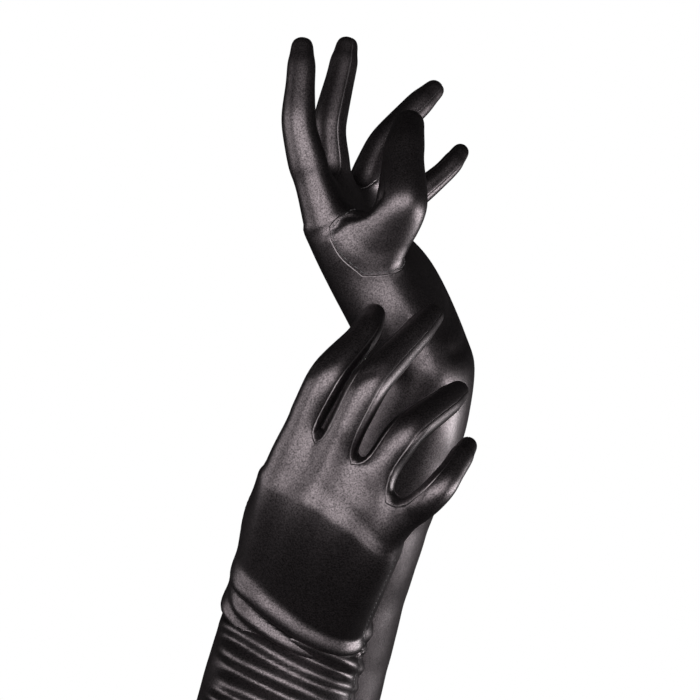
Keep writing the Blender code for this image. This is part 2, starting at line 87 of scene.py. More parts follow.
# Cloth and sewing
CLOTH = 0.6
SEAM_INSET = 0.4  # breadth of the turned edge beside a seam
SEAM_PULL_BREADTH = 1 / 9  # angle beside the outer seam over which it draws the cloth in
SEAM_DEPTH = 0.5  # how far the sewn edges sink below the cloth
EDGE_TURN = 1.3  # how far the shading turns down at a sewn edge
SMOOTHING = 2  # subdivision levels of the whole surface
STITCH_PITCH = 3.0
STITCH_LENGTH = 2.1
STITCH_RADIUS = 0.2
STITCH_ASIDE = 1.3
STITCH_RISE = 0.75  # how high a stitch's middle stands above the cloth, in thread radii
STITCH_SINK = 0.9  # how much lower its ends lie, in the same
STITCH_SIDES = 6
STITCH_RINGS = ((-1.0, 0.45), (-0.75, 1.0), (0.0, 1.15), (0.75, 1.0), (1.0, 0.45))
HEM_DEPTH = 14.0
HEM_GROOVE = 0.35  # depth of the line that the hem's stitches press in
HEM_GROOVE_BREADTH = 1.2
HEM_EASE = 12.0  # height above the hem over which the folds grow
# The folded hem's outline: how far inside the cloth, how far up, and its share of the ripple
HEM_FOLD = (
    (0.1, 1.0, 0), (0.25, 0.3, 0), (0.7, 0.0, 0), (1.2, 0.3, 0), (1.5, 1.2, 0), (1.7, 6.0, 1),
    (1.4, HEM_DEPTH - 0.4, 0), (0.9, HEM_DEPTH, 0), (0.7, HEM_DEPTH - 0.4, 0), (0.9, 6.0, 0),
)
HEM_RIPPLE = 0.18
TAPE_WIDTH = 6.0
TAPE_INSIDE = 2.0
TAPE_THICKNESS = 0.8
TAPE_GATHER, TAPE_WAVER = 0.12, 0.15

SATIN_LUSTRE = 0.97  # dense black satin gives back nearly all of its light as gloss
SATIN_GLOSS = (0.35, 0.40)  # roughness, from its glossiest patches to its dullest
SATIN_DARK = (0.020, 0.0172, 0.0182, 1.0)
SATIN_LIGHT = (0.085, 0.073, 0.077, 1.0)
# painted highlight: the paler satin colour given to the turned-in sewn edges at the seams
SATIN_SEAM_HIGHLIGHT = (0.16, 0.145, 0.15, 1.0)
# Yarn and tape: their bands, colours, grain size, roughness, and strength and depth of relief
THREAD = {
    "bands": ("DIAGONAL", 1400.0, 1.0),
    "colours": ((0.012, 0.011, 0.012, 1.0), (0.05, 0.045, 0.048, 1.0)),
    "grain": 3000.0, "rough": (0.5, 0.7), "relief": (0.6, 0.00005),
}
ELASTIC = {
    "bands": ("Z", 300.0, 0.6),
    "colours": ((0.01, 0.01, 0.01, 1.0), (0.035, 0.033, 0.035, 1.0)),
    "grain": 1500.0, "rough": (0.6, 0.85), "relief": (0.7, 0.0003),
}

# Studio, in metres and watts
FLOOR_RADIUS_M = 0.6
FLOOR_SIDES = 96
ROOM_LIGHT = 0.008
CAMERA_PLACE_M = (0.042, -0.97, 0.36)
CAMERA_REACH_M = 0.9  # distance at which the view is VIEW_BREADTH_M broad
VIEW_BREADTH_M = 0.315
SENSOR_MM = 36.0
LIGHTS = {  # place, target, size and power
    "key": ((0.0, -1.2, 0.53), (0.0, 0.0, 0.51), (2.0, 0.9), 38.0),
    "side": ((-1.4, -0.35, 0.56), (0.0, -0.1, 0.56), (1.2, 0.95), 13.0),
    "low": ((1.1, 0.0, -0.05), (0.0, -0.05, 0.1), (1.0, 0.3), 17.0),
}
WHITE = (1.0, 1.0, 1.0, 1.0)
FLOOR_LIGHT = (0.84, 0.84, 0.84, 1.0)
FLOOR_SHADE = (0.80, 0.80, 0.80, 1.0)
FLOOR_BOUNCE = (0.03, 0.03, 0.03, 1.0)  # keeps the floor's light off the dark cloth

# Columns round the hand: 8 over the back, 2 on the ulnar side, 8 over the palm, 2 radial
COLUMNS = 20
BACK_FIRST, BACK_LAST, ULNAR, PALM_FIRST, PALM_LAST, RADIAL = 0, 8, 9, 10, 18, 19
# The hand's two edges: the finger, which way it faces, and its columns from back to palm
HAND_EDGES = ((0, -1, BACK_FIRST, RADIAL, PALM_LAST), (3, 1, BACK_LAST, ULNAR, PALM_FIRST))
KNUCKLE_HALF = (11.0, 12.5)  # from a knuckle's centre to the back and to the palm
VALLEY_HALF = (9.0, 13.0)  # the same between two knuckles
EDGE_OUT = 10.5  # from the outer knuckles to the hand's edges
EDGE_CORNER = (7.5, 7.5, 9.0)  # the columns beside an edge: outwards, to the back, to the palm
PALM_MIDDLE = 14
PALM_SWELL = (6.0, 3.0)  # how far the palm stands out at its edges, and less in its middle
EDGE_SWELL = 2.0
CORNER_DEG = 25.0  # how far the first column of the back stands above the hand's edge
FINGERS = ("index", "middle", "ring", "little")
BEYOND_HAND = 1000.0  # the height noted for points that no fold reaches
UP = np.array([0.0, 0.0, 1.0])

# Radius of each digit at its base, at its joints in turn, and just before its tip
FINGER_RADII = {
    "index": (9.3, 8.5, 7.2, 6.0),
    "middle": (9.5, 8.6, 7.4, 6.2),
    "ring": (9.1, 8.2, 7.2, 6.0),
    "little": (8.0, 6.9, 6.0, 5.2),
    "thumb": (12.0, 9.8, 7.8),
}
FINGER_GAP = 5.0  # length of the stall's first ring
THUMB_GAP = 3.0  # half the length of the thumb stall's first ring, which is centred on its first joint
WEB_SHARE = 0.45  # how far along its first bone a finger parts from the hand
WEB_FARTHEST = 19.0
WEB_DEPTH = 5.0  # how far the cloth of the back reaches down between two fingers
WEB_TOP, WEB_PALM = 0.5, 2.0  # where the web's middle and its palm side lie along the finger
BASE_BACK, BASE_PALM = 2.0, 1.5  # where a finger's cloth begins on its back and in the palm
STUB = 4.0  # length of a finger that belongs to the hand
JOINT_ROUNDING = 6.0
TIP_RINGS = ((9.0, 1.0), (3.9, 0.96), (1.1, 0.64))  # distance from the tip, share of its radius
THUMB_HOLE_ROWS = (0, 3)  # from the first of the palm's rows to the fourth
THUMB_HOLE_COLUMNS = (16, 17, 18, 19)
THUMB_MOUND = (0.36, 0.70)  # rings between the hole and the thumb's stall
THUMB_LIFT = 9.0
HOLE_ROUNDING = 0.7

# Shape of the gathered folds, and of the cloth's slack
FOLD_UPPER, FOLD_LOWER = 1.35, 0.75  # a fold's half widths above and below its ridge
FOLD_SWAY = 1.1  # how far a fold wanders up and down on its way round the arm
FOLD_SKEW = 0.5  # how far a fold's two halves part in height
FOLD_FADE_DEG = 40.0
FOLD_AT_SEAM = 0.45  # share of a fold's height that is left at the outer seam
FOLD_FULL_DEG = 28.0
SLACK_WAVES = 14
SLACK_LENGTHS = (14, 45)
SLACK_OF_HAND = 0.25  # share of the sleeve's slack that the hand's tighter cloth has
SLACK_FROM_WRIST, SLACK_EASE = 25.0, 40.0  # it falls to that share above the wrist

# Joint centres of each hand.  A digit runs from its knuckle to its tip.  rows are the
# palm's rings, as shares of the way from the knuckles to the wrist.  girth gives half the
# sleeve's breadth and thickness against the share of its length above the hem.  Each crease
# is a line, its breadth and its height.
LEFT = {
    "name": "left",
    "sleeve_rows": 40,
    "held": "stretched",
    "slack": 1.3,
    "plump": 0.97,
    "tip_reach": -0.4,
    "seam_pull": 0.6,
    "ulnar_mound": 5.0,
    "back_rise": 1.0,
    "gather": {
        "seed": 4, "above_wrist": -30, "lowest": 25, "pitch": 34.0, "depth": 0.5, "rise": 16.0,
        "strength": (0.4, 0.6, 1.0),
    },
    "creases": (
        (((33, -104, 412), (41, -104, 421), (52, -104, 429)), 2.0, -1.6),
        (((31, -104, 408), (38, -106, 415), (50, -106, 424)), 3.0, 0.7),
        (((95, -60, 385), (84, -70, 372), (76, -80, 366)), 2.6, -1.2),
        (((98, -60, 368), (90, -72, 360), (84, -80, 357)), 2.6, -1.0),
        (((46, -40, 372), (54, -36, 366), (62, -28, 362)), 3.0, -1.6),
        (((42, -40, 360), (50, -32, 354), (60, -26, 350)), 3.0, -1.8),
        (((38, -36, 348), (46, -28, 342), (56, -24, 338)), 3.0, -1.5),
    ),
    "turn": -1.0,
    "rows": (0.02, 0.14, 0.26, 0.39, 0.60, 0.80, 0.90),
    "wrist": (76.5, -62, 351),
    "index": [(30, -90, 417), (19, -94, 459), (20.5, -90, 481), (21, -84, 499)],
    "middle": [(35, -70, 418), (32, -66, 461), (38.5, -59, 487), (41.5, -54, 504)],
    "ring": [(42, -50, 416), (56, -43, 455), (72, -34, 473), (85, -25, 486)],
    "little": [(50, -34, 412), (73, -24, 433), (88.5, -16, 446), (97.5, -8, 458.5)],
    "thumb": [(53, -90, 389), (65, -98, 424), (65.5, -84, 447), (69.5, -66, 466)],
    "sleeve": [(76.5, -62, 351), (43.5, -34, 262), (20, -16, 183), (5, -4, 100), (0, 0, 0)],
    "girth": [
        (1.0, 30, 23), (0.94, 31, 27), (0.82, 33, 27), (0.6, 35, 31), (0.3, 41, 37), (0.0, 43, 41),
    ],
}
RIGHT = {
    "name": "right",
    "sleeve_rows": 48,
    "held": "gathered",
    "slack": 1.0,
    "plump": 1.13,
    "tip_reach": 0.6,
    "seam_pull": 1.6,
    "ulnar_mound": 0.0,
    "back_rise": 2.6,
    "gather": {
        "seed": 11, "above_wrist": 7, "lowest": 24, "pitch": 10.0, "depth": 4.4, "rise": 15.0,
        "strength": (0.45, 0.8, 1.0),
    },
    "creases": (
        (((24, -152, 316), (26, -152, 311)), 2.6, -0.9),
        (((46, -158, 306), (48, -158, 300)), 2.6, -0.9),
        (((62, -160, 294), (64, -160, 289)), 2.6, -0.8),
        (((20, -150, 355), (28, -152, 360), (36, -150, 362)), 1.3, -0.5),
        (((40, -160, 352), (48, -162, 356), (56, -160, 356)), 1.3, -0.5),
    ),
    "turn": 1.0,
    "rows": (0.15, 0.30, 0.45, 0.61, 0.70, 0.77, 0.83, 0.89, 0.95),
    "wrist": (17, -92, 239),
    "index": [(14, -137, 312), (33, -142, 350), (48, -126, 366), (54, -111, 379)],
    "middle": [(30, -145, 306), (50, -148, 347), (68, -128, 365), (80, -111, 378)],
    "ring": [(44, -145, 296), (65, -147, 327), (81, -125, 337), (91, -107, 344)],
    "little": [(57, -142, 284), (77.5, -160, 302.5), (86, -150, 313.5), (93, -138, 323.5)],
    "thumb": [(6, -108, 256), (14, -80, 296), (25, -63, 322), (39, -59, 347)],
    "sleeve": [(17, -92, 239), (9, -97, 207), (-3, -104, 150), (-12, -110, 80), (-16, -112, 0)],
    "girth": [(1.0, 32, 24), (0.8, 34.5, 29), (0.55, 38, 34), (0.3, 41, 38), (0.0, 43, 41)],
}


def unit(vector):
    """The vector at length 1."""
    return vector / np.linalg.norm(vector)


def across(vector, axis):
    """The vector's part at right angles to the axis, at length 1."""
    return unit(vector - axis * np.dot(vector, axis))


def joints_of(glove, name):
    """The glove's points of that name."""
    return [np.array(p, float) for p in glove[name]]


def curve_point(points, t):
    """A point on the smooth curve through the points, t from 0 to 1."""
    spans = len(points) - 1
    span = min(int(t * spans), spans - 1)
    u = t * spans - span
    p1, p2 = points[span], points[span + 1]
    p0 = points[span - 1] if span else 2 * p1 - p2
    p3 = points[span + 2] if span + 2 <= spans else 2 * p2 - p1
    return 0.5 * (
        2 * p1
        + (p2 - p0) * u
        + (2 * p0 - 5 * p1 + 4 * p2 - p3) * u**2
        + (3 * p1 - p0 - 3 * p2 + p3) * u**3
    )


def measured(line):
    """A line's length, and a function that gives the points at distances along it."""
    line = np.array(line)
    run = np.concatenate([[0], np.cumsum(np.linalg.norm(np.diff(line, axis=0), axis=1))])

    def at(places):
        return np.column_stack([np.interp(places, run, line[:, axis]) for axis in range(3)])

    return run[-1], at


def even_curve(points, count):
    """Evenly spaced points on the smooth curve, count of them after the first."""
    length, at = measured([curve_point(points, k / 200) for k in range(201)])
    return at(np.linspace(0, length, count + 1))


def column_angles():
    """The angle of each column round the hand, from the radial edge over the back."""
    back = np.linspace(CORNER_DEG, 180 - CORNER_DEG, 9)
    return np.radians(np.concatenate([back, [180], back + 180, [360]]))


class Cage:
    """A glove's surface as named quads, with a label for each face.

    spots holds each point's height along the arm above the hem, and its angle round the arm
    from the outer seam towards the back.
    """

    def __init__(self):
        self.points = []
        self.spots = []
        self.faces = []
        self.labels = []
        self.halves = []

    def add_points(self, points, spots=None):
        first = len(self.points)
        self.points.extend(np.asarray(p, float) for p in points)
        self.spots.extend(spots or [(BEYOND_HAND, 0.0)] * len(points))
        return list(range(first, len(self.points)))

    def add_face(self, corners, label, half=0):
        self.faces.append(tuple(corners))
        self.labels.append(label)
        self.halves.append(half)

    def add_strip(self, low, high, labels, seam=None):
        """Quads between two closed rings; labels gives each column's name, or None for a hole.

        seam is the column where the outer seam runs; the faces beside it are marked -1 and 1.
        """
        count = len(low)
        for k in range(count):
            n = (k + 1) % count
            half = 0
            if seam is not None and -3 <= k - seam < 3:
                half = -1 if k < seam else 1
            if labels[k]:
                self.add_face((low[k], low[n], high[n], high[k]), labels[k], half)

    def close_tip(self, ring, point, labels):
        """Four-cornered faces from a digit's last ring to the point at its tip."""
        (tip,) = self.add_points([point])
        for k in range(0, len(ring), 2):
            self.add_face((ring[k], ring[k + 1], ring[(k + 2) % len(ring)], tip), labels[k])

    def face_outwards(self):
        """Turns every face if the surface is inside out."""
        points = np.array(self.points)
        a, b, c, d = (points - points.mean(axis=0))[np.array(self.faces).T]
        if np.sum(a * (np.cross(b, c) + np.cross(c, d))) < 0:
            self.faces = [face[::-1] for face in self.faces]


def bend_stations(before, joint, after, radius):
    """Three rings that carry a digit round a joint."""
    first = joint - before * JOINT_ROUNDING
    last = joint + after * JOINT_ROUNDING
    turn = (first + last + 2 * joint) / 4
    return [(first, radius * 1.02), (turn, radius), (last, radius * 0.99)]


def end_stations(joints, radii):
    """The rings of a stall from its middle joint to its tip."""
    *before, tip = joints
    along = [unit(b - a) for a, b in zip(joints, joints[1:])]
    stations = []
    for k, joint in enumerate(before[1:]):
        stations += bend_stations(along[k], joint, along[k + 1], radii[k])
    for back, share in TIP_RINGS:
        stations.append((tip - along[-1] * back, radii[-1] * share))
    return stations


def station_frames(stations, tip, side, turn):
    """For each station: the direction along the digit, its side and its back."""
    centres = [c for c, _ in stations] + [tip]
    frames = []
    for k in range(len(stations)):
        before = centres[max(k - 1, 0)]
        along = unit(centres[k + 1] - before)
        side = across(side, along)
        frames.append((along, side, turn * np.cross(side, along)))
    return frames


def ring_points(centre, side, back, half_side, half_back, angles):
    """Points of an ellipse, by angle from -side over the back.

    They stand out a little, as much as the smoothing draws a ring of so many points in.
    """
    grow = 3 / (2 + math.cos(2 * math.pi / len(angles)))
    half_side, half_back = half_side * grow, half_back * grow
    return [
        centre - side * half_side * math.cos(a) + back * half_back * math.sin(a)
        for a in angles
    ]


def hand_axes(glove):
    """The hand's side axis, from radial to ulnar, and its back's direction."""
    knuckles = [joints_of(glove, name)[0] for name in FINGERS]
    along = unit(sum(knuckles) / 4 - np.array(glove["wrist"], float))
    side = across(knuckles[3] - knuckles[0], along)
    return side, glove["turn"] * np.cross(side, along)


def knuckle_ring(glove, side, back):
    """The ring of the hand through the four knuckles, with a shallow valley between them."""
    knuckles = [joints_of(glove, name)[0] for name in FINGERS]
    ring = [None] * COLUMNS
    for j, knuckle in enumerate(knuckles):
        ring[2 * j + 1] = knuckle + KNUCKLE_HALF[0] * back
        ring[17 - 2 * j] = knuckle - KNUCKLE_HALF[1] * back
    for j in range(3):
        between = (knuckles[j] + knuckles[j + 1]) / 2
        ring[2 * j + 2] = between + VALLEY_HALF[0] * back
        ring[16 - 2 * j] = between - VALLEY_HALF[1] * back
    for finger, sign, high, middle, low in HAND_EDGES:
        beside = knuckles[finger] + EDGE_CORNER[0] * sign * side
        ring[high] = beside + EDGE_CORNER[1] * back
        ring[middle] = knuckles[finger] + EDGE_OUT * sign * side
        ring[low] = beside - EDGE_CORNER[2] * back
    return ring


def finger_axes(glove, name, hand_side):
    """The finger's direction, side and back at its base."""
    knuckle, middle = joints_of(glove, name)[:2]
    along = unit(middle - knuckle)
    side = across(hand_side, along)
    return along, side, glove["turn"] * np.cross(side, along)


def finger_base(glove, name):
    """The centre of a finger where it parts from the hand."""
    knuckle, middle = joints_of(glove, name)[:2]
    length = np.linalg.norm(middle - knuckle)
    return knuckle + unit(middle - knuckle) * min(WEB_SHARE * length, WEB_FARTHEST)


def web_ring(glove, hand_side):
    """The last ring of the hand, and the three points where neighbouring fingers part."""
    corner = math.sqrt(0.5)
    bases = []
    for name in FINGERS:
        along, side, back = finger_axes(glove, name, hand_side)
        bases.append((finger_base(glove, name), along, side, back, FINGER_RADII[name][0]))
    ring = [None] * COLUMNS
    for j, (centre, along, side, back, radius) in enumerate(bases):
        ring[2 * j + 1] = centre + radius * back - BASE_BACK * along
        ring[17 - 2 * j] = centre - radius * back + BASE_PALM * along
    webs = []
    for j in range(3):
        parts = []
        for (centre, along, side, back, radius), out in ((bases[j], 1), (bases[j + 1], -1)):
            parts.append((
                centre + corner * radius * (out * side + back) - WEB_DEPTH * along,
                centre + radius * out * side + WEB_TOP * along,
                centre + corner * radius * (out * side - back) - WEB_PALM * along,
            ))
        high, middle, low = ((a + b) / 2 for a, b in zip(*parts))
        ring[2 * j + 2] = high
        ring[16 - 2 * j] = low
        webs.append(middle)
    for finger, out, high, middle, low in HAND_EDGES:
        centre, _, side, back, radius = bases[finger]
        ring[high] = centre + corner * radius * (out * side + back)
        ring[middle] = centre + radius * out * side
        ring[low] = centre + corner * radius * (out * side - back)
    return ring, webs


def sleeve_frames(glove, hand_side):
    """Centre, side and back at each sleeve ring, from the wrist to the hem."""
    centres = even_curve(joints_of(glove, "sleeve"), glove["sleeve_rows"])
    knuckles = sum(joints_of(glove, name)[0] for name in FINGERS) / 4
    above = [knuckles, *centres[:-1]]
    below = [*centres[1:], centres[-1] - UP]
    frames = []
    side = hand_side
    for centre, before, after in zip(centres, above, below):
        along = unit(unit(before - centre) + unit(centre - after))
        if after is below[-1]:
            along = UP
        side = across(side, along)
        frames.append((centre, side, glove["turn"] * np.cross(side, along)))
    return frames


def sleeve_half_widths(glove, t):
    """Half the sleeve's breadth and thickness, t = 0 at the wrist and 1 at the hem."""
    places, sides, backs = zip(*sorted(glove["girth"]))
    return np.interp(1 - t, places, sides), np.interp(1 - t, places, backs)


def palm_bulge(glove, column, t, side, back):
    """How far the hand stands proud of straight lines from knuckle to wrist."""
    rise = math.sin(math.pi * min(t, 1.0))
    early = math.sin(math.pi * min(t, 1.0) ** 0.6)
    if PALM_FIRST <= column <= PALM_LAST:
        hollow = 1.0 - abs(column - PALM_MIDDLE) / 6.0
        mound = glove["ulnar_mound"] * early * min((PALM_LAST - column) / 4, 1.0)
        return -back * (rise * (PALM_SWELL[0] - PALM_SWELL[1] * hollow) + mound)
    if column in (RADIAL, BACK_FIRST):
        return -side * rise * EDGE_SWELL
    return back * (rise + glove["back_rise"] * early)


def add_hand(cage, glove):
    """The sleeve, the hand and the rings that the fingers and the thumb are joined to."""
    side, back = hand_axes(glove)
    angles = column_angles()
    around = [math.radians((k - ULNAR) * 360 / COLUMNS) for k in range(COLUMNS)]
    rings = []
    frames = sleeve_frames(glove, side)
    length = sum(np.linalg.norm(a[0] - b[0]) for a, b in zip(frames, frames[1:]))
    for k, (centre, s, b) in enumerate(frames):
        half_side, half_back = sleeve_half_widths(glove, k / glove["sleeve_rows"])
        height = length * (1 - k / glove["sleeve_rows"])
        ring = ring_points(centre, s, b, half_side, half_back, angles)
        rings.append(cage.add_points(ring, [(height, turn) for turn in around]))
    for high, low in zip(rings, rings[1:]):
        cage.add_strip(low, high, ["trank_sleeve"] * COLUMNS, ULNAR)

    knuckle = knuckle_ring(glove, side, back)
    wrist = [cage.points[i] for i in rings[0]]
    palm_rings = []
    for t in glove["rows"]:
        row = [
            knuckle[c] * (1 - t) + wrist[c] * t + palm_bulge(glove, c, t, side, back)
            for c in range(COLUMNS)
        ]
        height = length + (1 - t) * np.linalg.norm(np.mean(knuckle, axis=0) - frames[0][0])
        palm_rings.append(cage.add_points(row, [(height, turn) for turn in around]))
    knuckles = cage.add_points(knuckle)
    web_points, middles = web_ring(glove, side)
    web = cage.add_points(web_points)
    webs = cage.add_points(middles)

    hand = ["trank_hand"] * COLUMNS
    cage.add_strip(rings[0], palm_rings[-1], hand, ULNAR)
    for row in range(len(palm_rings) - 1):
        labels = list(hand)
        if THUMB_HOLE_ROWS[0] <= row < THUMB_HOLE_ROWS[1]:
            for column in THUMB_HOLE_COLUMNS[:-1]:
                labels[column] = None
        cage.add_strip(palm_rings[row + 1], palm_rings[row], labels, ULNAR)
    cage.add_strip(palm_rings[0], knuckles, hand, ULNAR)
    cage.add_strip(knuckles, web, hand, ULNAR)
    round_hole(cage, palm_rings)
    return {"sleeve": rings, "palm": palm_rings, "web": web, "webs": webs, "side": side}


def round_hole(cage, rows):
    """Draws the corners of the thumb's hole in, so that smoothing makes it an oval."""
    (top, bottom), (left, *_, right) = THUMB_HOLE_ROWS, THUMB_HOLE_COLUMNS
    for row, column, down, over in (
        (top, left, 1, 1), (top, right, 1, -1), (bottom, left, -1, 1), (bottom, right, -1, -1),
    ):
        beside = cage.points[rows[row + down][column]] + cage.points[rows[row][column + over]]
        corner = rows[row][column]
        kept = cage.points[corner] * (1 - HOLE_ROUNDING)
        cage.points[corner] = kept + beside * HOLE_ROUNDING / 2


def finger_labels(name, stub):
    """Names of a finger's eight columns: back, ulnar side, palm and radial side."""
    place = FINGERS.index(name)
    back = palm = "trank_hand" if stub else f"{name}_trank"
    if stub:
        ulnar = f"web_{name}_{FINGERS[place + 1]}" if place < 3 else "trank_hand"
        radial = f"web_{FINGERS[place - 1]}_{name}" if place else "trank_hand"
    else:
        ulnar = f"{name}_fourchette_ulnar" if place < 3 else f"{name}_trank"
        radial = f"{name}_fourchette_radial" if place else f"{name}_trank"
        if name in ("middle", "ring"):
            back, palm = f"{name}_back", f"{name}_palm"
    return [back] * 2 + [ulnar] * 2 + [palm] * 2 + [radial] * 2


def add_finger(cage, glove, hand, name):
    """One finger stall: its base ring is part of the hand's web ring."""
    place = FINGERS.index(name)
    joints = joints_of(glove, name)
    along, side, _ = finger_axes(glove, name, hand["side"])
    base, *ends = FINGER_RADII[name]
    ends = [radius * glove["plump"] for radius in ends]
    start = finger_base(glove, name) + along * STUB
    stations = [(start, base), (start + along * FINGER_GAP, base)] + end_stations(joints, ends)
    frames = station_frames(stations, joints[3], side, glove["turn"])
    web, webs = hand["web"], hand["webs"]
    low = [
        web[2 * place],
        web[2 * place + 1],
        web[2 * place + 2],
        webs[place] if place < 3 else web[ULNAR],
        web[16 - 2 * place],
        web[17 - 2 * place],
        web[18 - 2 * place],
        webs[place - 1] if place else web[RADIAL],
    ]
    angles = np.radians(np.arange(8) * 45.0 + 45.0)
    for k, ((centre, radius), (_, s, b)) in enumerate(zip(stations, frames)):
        high = cage.add_points(ring_points(centre, s, b, radius, radius, angles))
        labels = finger_labels(name, k == 0)
        cage.add_strip(low, high, labels, 3 if name == "little" else None)
        low = high
    cage.close_tip(low, joints[3] + frames[-1][0] * glove["tip_reach"], labels)


def thumb_hole(hand):
    """The closed loop of the hand's points round the thumb's hole."""
    first, last = THUMB_HOLE_ROWS
    rows = hand["palm"]
    left, right = THUMB_HOLE_COLUMNS[0], THUMB_HOLE_COLUMNS[-1]
    loop = [rows[first][c] for c in THUMB_HOLE_COLUMNS]
    loop += [rows[r][right] for r in range(first + 1, last)]
    loop += [rows[last][c] for c in reversed(THUMB_HOLE_COLUMNS)]
    loop += [rows[r][left] for r in range(last - 1, first, -1)]
    return loop[::-1]


def loop_angles(loop, centre, side, back):
    """Evenly spaced ring angles, turned to fit the loop's points as closely as they can."""
    seen = [math.atan2(np.dot(p - centre, back), np.dot(p - centre, side)) for p in loop]
    turned = np.sum(np.sin(np.diff(seen)))
    steps = math.copysign(1.0, turned) * np.arange(len(loop)) * 2 * math.pi / len(loop)
    offset = math.atan2(np.sum(np.sin(seen - steps)), np.sum(np.cos(seen - steps)))
    return math.pi - (offset + steps)


def add_thumb(cage, glove, hand):
    """The set-in thumb: a mound that grows out of the hole, then a stall."""
    loop = thumb_hole(hand)
    hole = np.array([cage.points[i] for i in loop])
    centre = hole.mean(axis=0)
    root, *joints = joints_of(glove, "thumb")
    base, *ends = FINGER_RADII["thumb"]
    into, after = unit(joints[0] - root), unit(joints[1] - joints[0])
    stations = [(joints[0] - into * THUMB_GAP, base), (joints[0] + after * THUMB_GAP, base)]
    stations += end_stations(joints, ends)
    side = across(hole[0] - centre, unit(joints[0] - centre))
    frames = station_frames(stations, joints[-1], side, 1.0)
    _, s, b = frames[0]
    angles = loop_angles(hole, centre, s, b)
    first = ring_points(stations[0][0], s, b, base, base, angles)
    outward = unit(joints[0] - centre)
    rings = [loop]
    for t in THUMB_MOUND:
        row = []
        for start, end in zip(hole, first):
            lift = start + outward * THUMB_LIFT
            lead = end - into * THUMB_LIFT
            near = (1 - t) ** 2 * (start * (1 - t) + 3 * t * lift)
            row.append(near + t**2 * (3 * (1 - t) * lead + end * t))
        rings.append(cage.add_points(row))
    for (middle, radius), (_, s, b) in zip(stations, frames):
        rings.append(cage.add_points(ring_points(middle, s, b, radius, radius, angles)))
    flex = len(THUMB_MOUND) + 1
    for k, (low, high) in enumerate(zip(rings, rings[1:])):
        label = "thumb_base" if k < flex else "thumb_stall"
        cage.add_strip(low, high, [label] * 12)
    cage.close_tip(rings[-1], joints[-1] + frames[-1][0] * glove["tip_reach"], ["thumb_stall"] * 12)


class Surface:
    """A glove's fine surface: points, their normals and spots, quads, and each quad's piece."""

    def __init__(self, cage):
        self.names = sorted(set(cage.labels))
        mesh = bpy.data.meshes.new("cage")
        mesh.from_pydata([tuple(p) for p in cage.points], [], cage.faces)
        kinds = [3 * self.names.index(n) + h + 1 for n, h in zip(cage.labels, cage.halves)]
        mesh.attributes.new("kind", "INT", "FACE").data.foreach_set("value", kinds)
        heights, turns = np.array(cage.spots).T
        note(mesh, "height", heights)
        note(mesh, "cos", np.cos(turns))
        note(mesh, "sin", np.sin(turns))
        obj = linked("cage", mesh)
        smooth = obj.modifiers.new("smooth", "SUBSURF")
        smooth.levels = SMOOTHING
        evaluated = obj.evaluated_get(bpy.context.evaluated_depsgraph_get())
        fine = evaluated.to_mesh()
        self.points = read(fine.vertices, "co", 3)
        self.faces = np.array([tuple(p.vertices) for p in fine.polygons])
        kind, self.height, cosine, sine = (
            read(fine.attributes[name].data, "value", 1)[:, 0]
            for name in ("kind", "height", "cos", "sin")
        )
        kind = kind.astype(int)
        self.labels = kind // 3
        self.halves = kind % 3 - 1
        self.turn = np.arctan2(sine, cosine)
        evaluated.to_mesh_clear()
        bpy.data.objects.remove(obj)
        self.find_normals()
        self.find_seams()

    def find_normals(self):
        self.normals = vertex_normals(self.points, self.faces)

    def find_seams(self):
        """Each edge's quads, and the edges that are sewn."""
        self.edges = {}
        for f, face in enumerate(self.faces):
            for a, b in zip(face, np.roll(face, -1)):
                self.edges.setdefault((min(a, b), max(a, b)), []).append(f)
        cloth = [sewn_part(name) for name in self.names]
        self.outer_seam, self.thumb_seam, self.seams = [], [], set()
        for edge, users in self.edges.items():
            if len(users) != 2:
                continue
            first, second = users
            parts = {cloth[self.labels[first]], cloth[self.labels[second]]}
            if {self.halves[first], self.halves[second]} == {-1, 1}:
                self.outer_seam.append(edge)
            elif len(parts) == 1:
                continue
            elif "thumb" in parts:
                self.thumb_seam.append(edge)
            self.seams.add(edge)

    def push(self, heights):
        """Moves every point out along its normal."""
        self.points = self.points + self.normals * heights[:, None]
        self.find_normals()


def note(mesh, name, values):
    """Writes a number for each of the mesh's points."""
    mesh.attributes.new(name, "FLOAT", "POINT").data.foreach_set("value", values)


def read(items, name, width):
    """One property of every item of a mesh, as rows."""
    values = np.zeros(len(items) * width, np.float32)
    items.foreach_get(name, values)
    return values.reshape(-1, width).astype(float)


def vertex_normals(points, faces):
    """Each point's normal, its quads weighted by their size."""
    corners = points[faces]
    normal = np.cross(corners[:, 2] - corners[:, 0], corners[:, 3] - corners[:, 1])
    total = np.zeros_like(points)
    for k in range(4):
        np.add.at(total, faces[:, k], normal)
    return total / np.maximum(np.linalg.norm(total, axis=1), 1e-9)[:, None]


def sewn_part(name):
    """The cut piece of cloth that a label belongs to, so that seams run between two parts."""
    if name.startswith("thumb"):
        return "thumb"
    if "fourchette" in name or name.startswith("web"):
        return "fourchette"
    return "trank"


# ---- folds of the cloth


def gather_folds(glove, wrist):
    """Long and short folds from the outer seam round the arm.

    Each has a height, a rise, a depth, a half width, an angle where it ends, and a phase.
    """
    gather = glove["gather"]
    dice = random.Random(gather["seed"])
    folds = []
    height = wrist + gather["above_wrist"]
    while height > gather["lowest"]:
        strength = np.interp(height, (0, 0.35 * wrist, 0.8 * wrist), gather["strength"])
        depth = gather["depth"] * strength * dice.uniform(0.8, 1.15)
        rise = gather["rise"] * dice.uniform(0.8, 1.2)
        width = gather["pitch"] * dice.uniform(0.38, 0.53)
        folds.append((height, rise, depth, width, dice.uniform(150, 200), dice.uniform(0, 6.28)))
        between = height - gather["pitch"] / 2
        reach = dice.uniform(35, 80)
        folds.append((between, rise, 0.75 * depth, 0.7 * width, reach, dice.uniform(0, 6.28)))
        height -= gather["pitch"] * dice.uniform(0.85, 1.15)
    return folds


